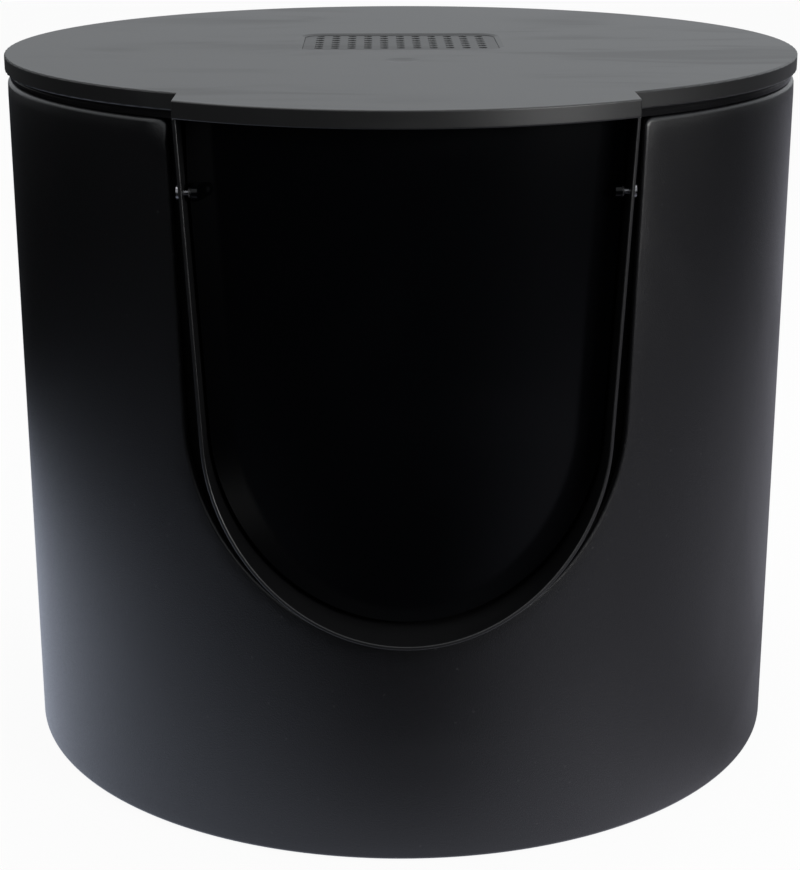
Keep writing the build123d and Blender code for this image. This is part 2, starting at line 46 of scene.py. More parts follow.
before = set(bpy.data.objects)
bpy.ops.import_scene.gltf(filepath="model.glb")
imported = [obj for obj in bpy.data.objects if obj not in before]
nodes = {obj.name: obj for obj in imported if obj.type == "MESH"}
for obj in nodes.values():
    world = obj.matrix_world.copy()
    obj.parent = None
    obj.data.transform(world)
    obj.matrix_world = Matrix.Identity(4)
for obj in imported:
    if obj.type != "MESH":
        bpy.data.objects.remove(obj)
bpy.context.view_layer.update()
COVER_LOW, COVER_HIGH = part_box("leather_wrap")
FELT_LOW, FELT_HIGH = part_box("carbon_filter")
MM = 0.001


# ---- settings ----------------------------------------------------------------------------------------
def length_setting(name, description, millimetres):
    """Length with its default in millimetres."""
    return FloatProperty(name=name, description=description, default=millimetres * MM, unit="LENGTH")


def share_setting(name, description, default):
    return FloatProperty(name=name, description=description, default=default, subtype="FACTOR")


def colour_setting(name, description, default):
    return FloatVectorProperty(name=name, description=description, default=default, subtype="COLOR", size=3)


def unit_setting(name, description, default, unit="NONE"):
    return FloatProperty(name=name, description=description, default=default, unit=unit)


class CoverSettings(PropertyGroup):
    """Leatherette cover of the sleeve, with its turned edges and its back seam."""

    thickness: length_setting("Thickness", "Cover's own thickness", 1.4)
    wall: length_setting("Wall", "Covered wall, from the outside to the turned-in border", 7.3)
    roll: length_setting("Roll", "Rounding of the outer edges", 2.6)
    inner_roll: length_setting("Inner roll", "Rounding of the edges towards the tub", 2.0)
    border: length_setting("Turned border", "Width of cover glued behind an edge", 16)
    under: length_setting("Border below", "Width of cover turned under the board", 24)
    slot_radius: length_setting("Slot radius", "Round bottom of the doorway slot", 115.3)
    slot_centre: length_setting("Slot centre", "Height of that circle's centre", 244.1)
    slot_lean: unit_setting("Slot lean", "Lean of the slot's sides", math.radians(1.73), "ROTATION")
    corner: length_setting("Corner", "Rounding where the slot meets the top edge", 5)
    shoulder: length_setting("Shoulder", "Slope of the cover towards its rolled edges", 0.35)
    puff: length_setting("Corner fullness", "Gathered thickness at the slot's top corners", 0.6)
    tuck_left: length_setting("Left tuck", "Pull of the cover round the slot's left corner", 2.3)
    tuck_right: length_setting("Right tuck", "Pull of the cover round the slot's right corner", 0.3)
    mesh_step: length_setting("Mesh step", "Spacing of the cover's mesh", 6)
    seam_depth: length_setting("Seam depth", "Depth of the back seam", 1.0)
    seam_width: length_setting("Seam width", "Half width of the seam's hollow", 2.2)
    stitch_pitch: length_setting("Stitch pitch", "Thread stitch spacing", 4.4)
    stitch_length: length_setting("Stitch length", "Seen length of a stitch", 3.3)
    stitch_offset: length_setting("Stitch offset", "Thread line beside the seam", 4.0)
    thread: length_setting("Thread", "Thread diameter", 0.7)
    grain: length_setting("Grain", "Size of the embossed grain", 1.0)
    grain_depth: length_setting("Grain depth", "Depth of the grain", 0.035)
    colour: colour_setting("Colour", "Leatherette", (0.0020, 0.0020, 0.0026))
    roughness: share_setting("Roughness", "Leatherette gloss", 0.28)


class MouldedSettings(PropertyGroup):
    """Moulded plastic pieces: tub, collar, lid and flap."""

    shell_colour: colour_setting("Shell", "Tub and collar", (0.0034, 0.0034, 0.0038))
    shell_roughness: share_setting("Shell roughness", "Satin", 0.36)
    tub_roughness: share_setting("Tub roughness", "Smooth", 0.2)
    lid_colour: colour_setting("Lid", "Lid and vent panel", (0.0042, 0.0042, 0.0044))
    lid_roughness: share_setting("Lid roughness", "Satin", 0.42)
    vent_roughness: share_setting("Vent roughness", "Satin", 0.46)
    flap_colour: colour_setting("Flap", "Smooth flap", (0.0007, 0.0008, 0.0011))
    flap_roughness: share_setting("Flap roughness", "Gloss", 0.17)
    texture: length_setting("Texture", "Moulded texture's size", 0.5)


class FilterSettings(PropertyGroup):
    """Carbon felt pad in the lid's tray."""

    edge: length_setting("Edge", "Soft rounding of the cut edges", 2.5)
    rise: length_setting("Rise", "Unevenness of the felt's top", 0.5)
    mesh_step: length_setting("Mesh step", "Spacing of the pad's mesh", 2.0)
    colour: colour_setting("Felt", "Carbon felt", (0.018, 0.018, 0.019))


class StageSettings(PropertyGroup):
    """Camera, floor and lamps."""

    distance: unit_setting("Distance", "Camera to the drum's axis", 1.1933, "LENGTH")
    height: unit_setting("Height", "Camera above the floor", 0.5527, "LENGTH")
    azimuth: unit_setting("Azimuth", "Camera off the centre", -0.0129, "ROTATION")
    pitch: unit_setting("Pitch", "Camera looks down by", 0.3041, "ROTATION")
    roll: unit_setting("Roll", "Camera roll", 0.0012, "ROTATION")
    focal: unit_setting("Focal length", "Millimetres on a 36 mm frame", 82.37)
    shift_x: unit_setting("Shift across", "Share of the frame's height", -0.0005)
    shift_y: unit_setting("Shift up", "Share of the frame's height", -0.0126)
    floor_size: unit_setting("Floor", "Side of the floor", 16.0, "LENGTH")
    shadow: share_setting("Shadow", "Share of the floor that takes shadow", 0.06)
    overhead: unit_setting("Overhead", "Power of the lamp above", 13.0, "POWER")
    left: unit_setting("Left", "Power of the high lamp at the left", 0.8, "POWER")
    right: unit_setting("Right", "Power of the lamp at the right", 1.2, "POWER")
    front: unit_setting("Front", "Power of the lamp at the right in front", 10.0, "POWER")
    ambient: unit_setting("Ambient", "Strength of the surroundings", 0.55)


SETTINGS = (CoverSettings, MouldedSettings, FilterSettings, StageSettings)


# ---- node helpers ------------------------------------------------------------------------------------
def add_node(tree, kind, inputs=None, **attributes):
    """A node with its attributes set and its inputs given as values or linked from sockets."""
    node = tree.nodes.new(kind)
    for name, value in attributes.items():
        setattr(node, name, value)
    for name, value in (inputs or {}).items():
        if isinstance(value, bpy.types.NodeSocket):
            tree.links.new(value, node.inputs[name])
        else:
            node.inputs[name].default_value = value
    return node


def maths(tree, operation, first, second=0.0):
    return add_node(tree, "ShaderNodeMath", {0: first, 1: second}, operation=operation).outputs[0]


def plus(tree, first, second):
    return maths(tree, "ADD", first, second)


def times(tree, first, second):
    return maths(tree, "MULTIPLY", first, second)


def ramp(tree, value, low, high, to_low=0.0, to_high=1.0, smooth=True):
    """Value mapped from low..high to to_low..to_high, held at both ends."""
    node = add_node(
        tree,
        "ShaderNodeMapRange",
        {"Value": value, "From Min": low, "From Max": high, "To Min": to_low, "To Max": to_high},
        interpolation_type="SMOOTHSTEP" if smooth else "LINEAR",
    )
    return node.outputs["Result"]


def blend_value(tree, share, first, second):
    """First value where the share is 0, second where it is 1. This node's inputs 2 and 3 hold numbers."""
    return add_node(tree, "ShaderNodeMix", {0: share, 2: first, 3: second}, data_type="FLOAT").outputs[0]


def blend_colour(tree, share, first, second):
    """As blend_value, for colours: this node's inputs 6 and 7 and output 2 hold them."""
    node = add_node(tree, "ShaderNodeMix", {"Factor": share}, data_type="RGBA")
    for socket, value in ((node.inputs[6], first), (node.inputs[7], second)):
        if isinstance(value, bpy.types.NodeSocket):
            tree.links.new(value, socket)
        else:
            socket.default_value = (*value, 1.0)
    return node.outputs[2]


def object_place(tree):
    return add_node(tree, "ShaderNodeTexCoord").outputs["Object"]


def noise(tree, place, scale, **values):
    """Strength of a noise texture, with further inputs by their names."""
    return add_node(tree, "ShaderNodeTexNoise", {"Vector": place, "Scale": scale, **values}).outputs["Fac"]


def cells(tree, place, scale, feature, **values):
    """A texture of scattered cells, seen through one of its features."""
    inputs = {"Vector": place, "Scale": scale, **values}
    return add_node(tree, "ShaderNodeTexVoronoi", inputs, feature=feature).outputs


def vector_maths(tree, operation, first, second=None):
    inputs = {0: first} if second is None else {0: first, 1: second}
    return add_node(tree, "ShaderNodeVectorMath", inputs, operation=operation)


def effect_group(name, sockets_in, sockets_out, build):
    """Shader node group with float inputs and outputs. It is built once and shared by the materials."""
    if name in bpy.data.node_groups:
        return bpy.data.node_groups[name]
    group = bpy.data.node_groups.new(name, "ShaderNodeTree")
    for label, default in sockets_in.items():
        socket = group.interface.new_socket(label, in_out="INPUT", socket_type="NodeSocketFloat")
        socket.default_value = default
    for label in sockets_out:
        group.interface.new_socket(label, in_out="OUTPUT", socket_type="NodeSocketFloat")
    source = group.nodes.new("NodeGroupInput")
    target = group.nodes.new("NodeGroupOutput")
    for label, socket in build(group, object_place(group), source.outputs).items():
        group.links.new(socket, target.inputs[label])
    return group


def pebble_grain(group, place, given):
    """Embossed pebbles of a size in metres, with creases between them and finer pores on top."""
    wander = 1.4  # of the pebbles' outlines, in pebbles
    wander_scale, pore_scale = 0.35, 2.6  # as shares of the pebbles' own scale
    crease_width, dome_width = 0.16, 0.75  # in pebbles
    dome_edge = 0.35  # height of a pebble's edge, its middle being 1
    crease_depth, pore_height = 0.45, 0.35
    scale = maths(group, "DIVIDE", 1.0, given["Size"])
    bend_inputs = {"Vector": place, "Scale": times(group, scale, wander_scale)}
    bend = add_node(group, "ShaderNodeTexNoise", bend_inputs).outputs["Color"]
    push = vector_maths(group, "SUBTRACT", bend, (0.5, 0.5, 0.5)).outputs[0]
    shift = vector_maths(group, "SCALE", push)
    group.links.new(times(group, given["Size"], wander), shift.inputs["Scale"])
    warped = vector_maths(group, "ADD", place, shift.outputs[0]).outputs[0]
    domes = cells(group, warped, scale, "SMOOTH_F1", Smoothness=0.35)["Distance"]
    edges = cells(group, warped, scale, "DISTANCE_TO_EDGE")["Distance"]
    pores = noise(group, place, times(group, scale, pore_scale), Detail=2.0)
    crease = ramp(group, edges, 0.0, crease_width, 1.0, 0.0)
    dome = ramp(group, domes, 0.0, dome_width, 1.0, dome_edge)
    body = maths(group, "SUBTRACT", dome, times(group, crease, crease_depth))
    return {"Height": plus(group, body, times(group, pores, pore_height)), "Crease": crease}


def mould_texture(group, place, given):
    """Fine spark-eroded texture of a mould, and the specks that stand highest in it."""
    fine = noise(group, place, maths(group, "DIVIDE", 1.0, given["Size"]), Detail=3.0, Roughness=0.6)
    return {"Height": fine, "Speck": ramp(group, fine, 0.62, 0.74)}


def handling_marks(group, place, given):
    """Wiped smears and finger marks: long soft streaks, broken up by larger clouds."""
    cloud_scale = 0.4  # as a share of the streaks' own scale
    scale = maths(group, "DIVIDE", 1.0, given["Size"])
    stretch = {"Vector": place, "Scale": (0.45, 1.6, 1.0), "Rotation": (0, 0, 0.35)}
    stretched = add_node(group, "ShaderNodeMapping", stretch).outputs[0]
    streaks = noise(group, stretched, scale, Detail=4.0, Distortion=0.8)
    clouds = noise(group, place, times(group, scale, cloud_scale), Detail=2.0)
    mask = times(group, ramp(group, streaks, 0.42, 0.68), ramp(group, clouds, 0.38, 0.62))
    return {"Mask": mask, "Cloud": clouds}


def dust_specks(group, place, given):
    """Scattered specks of lint, one in a few cells."""
    spots = cells(group, place, maths(group, "DIVIDE", 1.0, given["Spacing"]), "F1", Randomness=1.0)
    chance = add_node(group, "ShaderNodeSeparateColor", {"Color": spots["Color"]}).outputs["Red"]
    dot = ramp(group, spots["Distance"], 0.05, 0.11, 1.0, 0.0)
    return {"Mask": times(group, dot, ramp(group, chance, 0.55, 0.6, smooth=False))}


EFFECTS = {
    "pebble_grain": ({"Size": 1.0 * MM}, ("Height", "Crease"), pebble_grain),
    "mould_texture": ({"Size": 0.5 * MM}, ("Height", "Speck"), mould_texture),
    "handling_marks": ({"Size": 0.09}, ("Mask", "Cloud"), handling_marks),
    "dust_specks": ({"Spacing": 12 * MM}, ("Mask",), dust_specks),
}


def effect(tree, name, **values):
    """One of the shared effects, placed in a material with its own values."""
    node = tree.nodes.new("ShaderNodeGroup")
    node.node_tree = effect_group(name, *EFFECTS[name])
    for label, value in values.items():
        node.inputs[label].default_value = value
    return node.outputs


def new_material(name, **shader_values):
    """Empty material with one shader. Returns the material, its tree and the shader's inputs."""
    material = bpy.data.materials.new(name)
    material.use_nodes = True
    tree = material.node_tree
    tree.nodes.clear()
    output = add_node(tree, "ShaderNodeOutputMaterial")
    shader = add_node(tree, "ShaderNodeBsdfPrincipled")
    for label, value in shader_values.items():
        shader.inputs[label.replace("_", " ")].default_value = value
    tree.links.new(shader.outputs[0], output.inputs["Surface"])
    return material, tree, shader.inputs


def add_bump(tree, shader, height, distance):
    bump = add_node(tree, "ShaderNodeBump", {"Height": height, "Distance": distance, "Strength": 1.0})
    tree.links.new(bump.outputs["Normal"], shader["Normal"])


def set_colour(tree, shader, colour):
    tree.links.new(colour, shader["Base Color"])


def vary_roughness(tree, shader, pattern, low, high):
    """Roughness from low to high as a noise goes through the range that most of its values lie in."""
    tree.links.new(ramp(tree, pattern, 0.3, 0.7, low, high), shader["Roughness"])


def lighter(colour, factor):
    return tuple(min(1.0, part * factor) for part in colour)


# ---- materials ---------------------------------------------------------------------------------------
def leatherette_material(settings):
    # the crease tone is painted shade in the grain's creases; the worn tone is lighter wear
    crease_shade_tone, worn_tone = 0.45, 1.8  # against the leatherette's own colour
    wear, dustiness = 0.25, 0.06
    smear, crease_dull = 0.05, 0.1  # added to the roughness
    material, tree, shader = new_material("leatherette", Specular_IOR_Level=0.5)
    grain = effect(tree, "pebble_grain", Size=settings.grain)
    marks = effect(tree, "handling_marks", Size=0.12)
    specks = effect(tree, "dust_specks", Spacing=9 * MM)
    # painted shade: the grain's creases are darkened in colour, where shade would fall
    tone = blend_colour(tree, grain["Crease"], settings.colour, lighter(settings.colour, crease_shade_tone))
    worn = blend_colour(tree, times(tree, marks["Cloud"], wear), tone, lighter(settings.colour, worn_tone))
    dust = times(tree, specks["Mask"], dustiness)
    set_colour(tree, shader, blend_colour(tree, dust, worn, (0.16, 0.16, 0.17)))
    dull = times(tree, grain["Crease"], crease_dull)
    gloss = ramp(tree, marks["Mask"], 0.0, 1.0, settings.roughness, settings.roughness + smear)
    tree.links.new(plus(tree, gloss, dull), shader["Roughness"])
    add_bump(tree, shader, grain["Height"], settings.grain_depth)
    return material


def thread_material(settings):
    material, tree, shader = new_material("stitching_thread", Roughness=0.7)
    strands = {"Vector": object_place(tree), "Scale": 260.0, "Distortion": 1.0}
    twist = add_node(tree, "ShaderNodeTexWave", strands, bands_direction="DIAGONAL").outputs["Fac"]
    dark, pale = lighter(settings.colour, 1.2), lighter(settings.colour, 4.0)
    set_colour(tree, shader, blend_colour(tree, twist, dark, pale))
    add_bump(tree, shader, twist, 0.1 * MM)
    return material


def moulded_material(name, colour, roughness, settings, smear=0.06, specular=0.5):
    """Satin moulded plastic with a fine texture and wiped smears."""
    smear_share, smear_tone = 0.3, 1.5
    speck_dull = 0.05  # added to the roughness
    material, tree, shader = new_material(name, Specular_IOR_Level=specular)
    texture = effect(tree, "mould_texture", Size=settings.texture)
    marks = effect(tree, "handling_marks", Size=0.07)
    smears = times(tree, marks["Mask"], smear_share)
    set_colour(tree, shader, blend_colour(tree, smears, colour, lighter(colour, smear_tone)))
    gloss = ramp(tree, marks["Mask"], 0.0, 1.0, roughness, roughness + smear)
    tree.links.new(plus(tree, gloss, times(tree, texture["Speck"], speck_dull)), shader["Roughness"])
    add_bump(tree, shader, texture["Height"], 0.012 * MM)
    return material


def board_material():
    material, tree, shader = new_material("sleeve_board", Specular_IOR_Level=0.3)
    place = object_place(tree)
    chips = ramp(tree, cells(tree, place, 420.0, "F1")["Distance"], 0.2, 0.9)
    fibre = noise(tree, place, 160.0, Detail=5.0)
    pale = blend_colour(tree, fibre, (0.23, 0.15, 0.085), (0.36, 0.26, 0.16))
    set_colour(tree, shader, blend_colour(tree, chips, pale, (0.2, 0.12, 0.065)))
    vary_roughness(tree, shader, fibre, 0.75, 0.9)
    add_bump(tree, shader, fibre, 0.15 * MM)
    return material


def rubber_material():
    dustiness = 0.5
    material, tree, shader = new_material("foot_rubber", Specular_IOR_Level=0.35)
    texture = effect(tree, "mould_texture", Size=0.9 * MM)
    specks = effect(tree, "dust_specks", Spacing=4 * MM)
    tone = blend_colour(tree, texture["Height"], (0.012, 0.012, 0.012), (0.022, 0.022, 0.021))
    dust = times(tree, specks["Mask"], dustiness)
    set_colour(tree, shader, blend_colour(tree, dust, tone, (0.2, 0.19, 0.17)))
    vary_roughness(tree, shader, texture["Height"], 0.7, 0.9)
    add_bump(tree, shader, texture["Height"], 0.05 * MM)
    return material


def steel_material():
    """Zinc-plated steel of screws, pins and magnets."""
    material, tree, shader = new_material("plated_steel", Metallic=1.0)
    cloud = noise(tree, object_place(tree), 700.0, Detail=4.0)
    set_colour(tree, shader, blend_colour(tree, cloud, (0.18, 0.18, 0.19), (0.28, 0.28, 0.29)))
    vary_roughness(tree, shader, cloud, 0.24, 0.42)
    add_bump(tree, shader, cloud, 0.02 * MM)
    return material


def nylon_material():
    bleed = (0.001, 0.001, 0.001)
    material, tree, shader = new_material("washer_nylon", Subsurface_Weight=0.1, Subsurface_Radius=bleed)
    texture = effect(tree, "mould_texture", Size=0.4 * MM)
    tone = blend_colour(tree, texture["Height"], (0.022, 0.022, 0.023), (0.032, 0.032, 0.034))
    set_colour(tree, shader, tone)
    vary_roughness(tree, shader, texture["Height"], 0.38, 0.5)
    add_bump(tree, shader, texture["Height"], 0.02 * MM)
    return material


def felt_material(settings):
    """Carbon felt: matted fibres with pale and dark ones mixed."""
    pale_tone, dark_tone = 3.2, 0.5  # against the felt's own colour
    nap = {"Specular_IOR_Level": 0.2, "Sheen_Weight": 0.25, "Sheen_Roughness": 0.5}
    material, tree, shader = new_material("carbon_felt", **nap)
    place = object_place(tree)
    fibres = noise(tree, place, 900.0, Detail=6.0, Distortion=3.0)
    tufts = noise(tree, place, 140.0, Detail=2.0)
    pale = ramp(tree, fibres, 0.42, 0.68)
    tone = blend_colour(tree, pale, settings.colour, lighter(settings.colour, pale_tone))
    shaded = blend_colour(tree, times(tree, tufts, 0.5), tone, lighter(settings.colour, dark_tone))
    set_colour(tree, shader, shaded)
    vary_roughness(tree, shader, fibres, 0.82, 0.98)
    add_bump(tree, shader, plus(tree, fibres, tufts), 0.35 * MM)
    return material


def dress(names, material):
    """Gives CAD nodes their finish."""
    for name in names:
        mesh = nodes[name].data
        mesh.materials.clear()
        mesh.materials.append(material)


# ---- cover of the sleeve -----------------------------------------------------------------------------
ROLL_STEPS = 6  # of the mesh, round a quarter turn of a rolled edge
BORDER_STEPS = 3  # across a turned border
SLOT_FOOT_STEPS = 26  # over half of the slot's round bottom
SLOT_SIDE_STEPS = 22
SLOT_CORNER_STEPS = 8
TOP_EDGE_STEPS = 150  # from the slot to the back seam
BESIDE_SEAM = (0.3, 0.6, 1.0, 1.6, 2.4)  # mm from the seam to the columns of points beside it
SLOT_MARGIN = 0.6  # of a mesh step, kept free of points beside the slot's rolled edge

SHOULDER_WIDTH = 9 * MM
FULLNESS_DISTANCE = 11 * MM  # from the slot's top corner to where the cover is fullest
FULLNESS_WIDTH = 6 * MM
TUCK_WIDTH = 6.5 * MM
FOLD_RATE, FOLD_START = 7.0, 1.3  # of the small folds round the corner
FOLD_SHARE = 0.2  # of the fullness
OUT_OF_REACH = 1.0  # metres, further than any soft form reaches


def rolled_edge(roll):
    """(inset from the edge, depth) round a quarter turn, from the outside to the edge."""
    turns = [math.pi / 2 * n / ROLL_STEPS for n in range(ROLL_STEPS + 1)]
    return [(roll * (1 - math.sin(turn)), roll * (1 - math.cos(turn))) for turn in turns]


class CoverForm:
    """Geometry of the cover: a sheet laid on the drum, turned in at its top, slot and bottom edges.

    A point is given by its place along the drum, its height, and its depth below the drum's surface."""

    def __init__(self, settings):
        self.radius = COVER_HIGH.x
        self.low = COVER_LOW.z
        self.top = COVER_HIGH.z
        self.half_turn = math.pi * self.radius
        self.settings = settings

    def point(self, across, height, depth):
        """Point at an arc length from the front, with the seam's hollow at the back."""
        s = self.settings
        beside = (self.half_turn - abs(across)) / s.seam_width
        hollow = s.seam_depth * max(0.0, 1.0 - beside) ** 2
        angle = across / self.radius
        radius = self.radius - depth - hollow
        return Vector((radius * math.sin(angle), -radius * math.cos(angle), height))

    def slot_edge(self, inset):
        """Half outline of the slot in the XZ plane, drawn into the cover by an inset, from its foot up to the
        top edge's straight part. Where the inset passes the corner's rounding, its points meet in one."""
        s = self.settings
        radius = s.slot_radius + inset
        lean = s.slot_lean
        points = []
        arc = math.pi / 2 - lean
        for n in range(SLOT_FOOT_STEPS + 1):
            turn = arc * n / SLOT_FOOT_STEPS
            points.append((radius * math.sin(turn), s.slot_centre - radius * math.cos(turn)))
        foot_x, foot_z = points[-1]
        bend = max(s.corner - inset, 0.0)
        top = self.top - inset
        # The corner's circle touches the leaning side and the level top edge.
        centre_z = top - bend
        side_x = foot_x + (centre_z - foot_z) * math.tan(lean)
        centre_x = side_x + bend / math.cos(lean)
        end_x, end_z = centre_x - bend * math.cos(lean), centre_z + bend * math.sin(lean)
        for n in range(1, SLOT_SIDE_STEPS + 1):
            share = n / SLOT_SIDE_STEPS
            points.append((foot_x + (end_x - foot_x) * share, foot_z + (end_z - foot_z) * share))
        for n in range(1, SLOT_CORNER_STEPS + 1):
            turn = lean + (math.pi / 2 - lean) * n / SLOT_CORNER_STEPS
            points.append((centre_x - bend * math.cos(turn), centre_z + bend * math.sin(turn)))
        return points

    def edge_profile(self):
        """(inset from the edge, depth) of the turned edge, from the outside to the glued border's end."""
        s = self.settings
        profile = rolled_edge(s.roll)
        inner = s.inner_roll
        for n in range(ROLL_STEPS + 1):
            turn = math.pi / 2 * n / ROLL_STEPS
            profile.append((inner * (1 - math.cos(turn)), s.wall - inner * (1 - math.sin(turn))))
        for n in range(1, BORDER_STEPS + 1):
            profile.append((inner + (s.border - inner) * n / BORDER_STEPS, s.wall))
        return profile


def spaced(start, end, step):
    """Evenly spaced values from start to end, about a step apart."""
    count = max(1, round(abs(end - start) / step))
    return [start + (end - start) * n / count for n in range(count + 1)]


def cover_loops(form):
    """Sheet's upper border as rows of points, one row for each step of the turned edge's profile, and the
    first row's outline on the unrolled drum."""
    shares = [n / TOP_EDGE_STEPS for n in range(TOP_EDGE_STEPS)]
    shares += [1.0 - distance * MM / form.half_turn for distance in reversed(BESIDE_SEAM)]
    shares.append(1.0)
    rows, outlines = [], []
    for inset, depth in form.edge_profile():
        side = [(form.radius * math.asin(x / (form.radius - depth)), z) for x, z in form.slot_edge(inset)]
        start = side[-1][0]
        level = [(start + (form.half_turn - start) * share, form.top - inset) for share in shares[1:]]
        right = side + level
        left = [(-across, height) for across, height in reversed(right[1:])]
        outlines.append(left + right)
        rows.append([form.point(across, height, depth) for across, height in outlines[-1]])
    return rows, outlines[0]


def cover_foot(form):
    """Rows of points of the bottom edge, rolled and turned in under the board."""
    s = form.settings
    near = [distance * MM for distance in BESIDE_SEAM]
    across = spaced(-form.half_turn, form.half_turn, s.mesh_step)
    across += [form.half_turn - gap for gap in near] + [gap - form.half_turn for gap in near]
    across = sorted(set(across))
    profile = rolled_edge(s.roll)
    profile += [(0.0, s.roll + (s.under - s.roll) * n / BORDER_STEPS) for n in range(1, BORDER_STEPS + 1)]
    rows = [[form.point(a, form.low + inset, depth) for a in across] for inset, depth in profile]
    outline = [(a, form.low + s.roll) for a in across]
    return rows, outline


def add_rows(mesh, rows):
    """Quads between neighbouring rows of points, each row as long as the first."""
    grid = [[mesh.verts.new(point) for point in row] for row in rows]
    for upper, lower in zip(grid, grid[1:]):
        for n in range(len(upper) - 1):
            mesh.faces.new((upper[n], upper[n + 1], lower[n + 1], lower[n]))


def add_drum_face(mesh, form, upper, lower):
    """Fills the drum's outside between the two outlines, given as (across, height) from left to right."""
    s = form.settings
    inner = s.roll + SLOT_MARGIN * s.mesh_step
    seam_columns = [form.half_turn - distance * MM for distance in BESIDE_SEAM]
    columns = [a for a in spaced(-form.half_turn, form.half_turn, s.mesh_step) if abs(a) < seam_columns[-1]]
    columns += seam_columns + [-a for a in seam_columns]
    heights = spaced(lower[0][1], upper[0][1], s.mesh_step)[1:-1]
    right_side = [(form.half_turn, z) for z in heights]
    left_side = [(-form.half_turn, z) for z in reversed(heights)]
    border = lower + right_side + list(reversed(upper)) + left_side
    points = list(border)
    for height in heights:
        open_half = slot_half_width(form, height, inner)
        for a in columns:
            behind = abs(a) > form.half_turn / 2
            if behind or abs(form.radius * math.sin(a / form.radius)) > open_half:
                points.append((a, height))
    count = len(border)
    edges = [(n, (n + 1) % count) for n in range(count)]
    inside_only, merge_distance = 1, 1e-7
    flat, _, faces, *_ = delaunay_2d_cdt([Vector(p) for p in points], edges, [], inside_only, merge_distance)
    verts = [mesh.verts.new(form.point(p.x, p.y, 0.0)) for p in flat]
    for face in faces:
        mesh.faces.new([verts[n] for n in face])


def slot_half_width(form, height, inset):
    """Half of the slot's width at a height, drawn in by an inset. It is negative below the slot's foot."""
    s = form.settings
    radius = s.slot_radius + inset
    straight_from = s.slot_centre - radius * math.sin(s.slot_lean)
    if height > straight_from:
        return radius / math.cos(s.slot_lean) + (height - s.slot_centre) * math.tan(s.slot_lean)
    below = radius**2 - (height - s.slot_centre) ** 2
    return math.sqrt(below) if below > 0 else -1.0


def finished_object(name, mesh, material, modifiers=()):
    """Object from a bmesh, smooth shaded, with its modifiers applied."""
    data = bpy.data.meshes.new(name)
    mesh.to_mesh(data)
    mesh.free()
    piece = bpy.data.objects.new(name, data)
    bpy.context.scene.collection.objects.link(piece)
    for kind, values in modifiers:
        modifier = piece.modifiers.new(kind.title(), kind)
        for label, value in values.items():
            setattr(modifier, label, value)
    if modifiers:
        bpy.context.view_layer.update()
        graph = bpy.context.evaluated_depsgraph_get()
        applied = bpy.data.meshes.new_from_object(piece.evaluated_get(graph))
        piece.modifiers.clear()
        piece.data = applied
        bpy.data.meshes.remove(data)
        applied.name = name
    piece.data.shade_smooth()
    piece.data.materials.clear()
    piece.data.materials.append(material)
    return piece


def gather(form, point):
    """Soft shoulder along the top and slot edges, and the fullness, tuck and small folds at the slot's top
    corners, as a shift of a point of the outside."""
    s = form.settings
    angle = math.atan2(point.x, -point.y)
    side = slot_half_width(form, point.z, 0.0)
    beside = OUT_OF_REACH
    if side > 0:
        beside = abs(angle) * form.radius - form.radius * math.asin(side / form.radius)
    below = max(form.top - point.z, 0.0)
    foot = beside
    if point.z < s.slot_centre:
        foot = math.hypot(point.x, point.z - s.slot_centre) - s.slot_radius
    if abs(angle) > math.pi / 2:
        beside = foot = OUT_OF_REACH
    edge = min(below, max(foot, 0.0))
    slope = s.shoulder * max(0.0, 1.0 - edge / SHOULDER_WIDTH) ** 2
    away = math.hypot(max(beside, 0.0), below)
    fullness = math.exp(-(((away - FULLNESS_DISTANCE) / FULLNESS_WIDTH) ** 2))
    pull = math.exp(-((away / TUCK_WIDTH) ** 2))
    folds = math.cos(FOLD_RATE * math.atan2(below, max(beside, 0.0)) + FOLD_START) * fullness
    outward = Vector((point.x, point.y, 0)).normalized()
    tuck = s.tuck_left if angle < 0 else s.tuck_right
    puff = s.puff * tuck / s.tuck_left
    return outward * (puff * (fullness + FOLD_SHARE * folds) - tuck * pull - slope)


def build_cover(settings):
    form = CoverForm(settings)
    mesh = bmesh.new()
    border, upper = cover_loops(form)
    foot, lower = cover_foot(form)
    add_drum_face(mesh, form, upper, lower)
    add_rows(mesh, border)
    add_rows(mesh, [list(reversed(row)) for row in foot])
    bmesh.ops.remove_doubles(mesh, verts=mesh.verts, dist=0.02 * MM)
    bmesh.ops.recalc_face_normals(mesh, faces=mesh.faces)
    for vert in mesh.verts:
        vert.co += gather(form, vert.co)
    shell = ("SOLIDIFY", {"thickness": settings.thickness, "offset": -1.0, "use_even_offset": True})
    return form, finished_object("leatherette_cover", mesh, leatherette_material(settings), [shell])


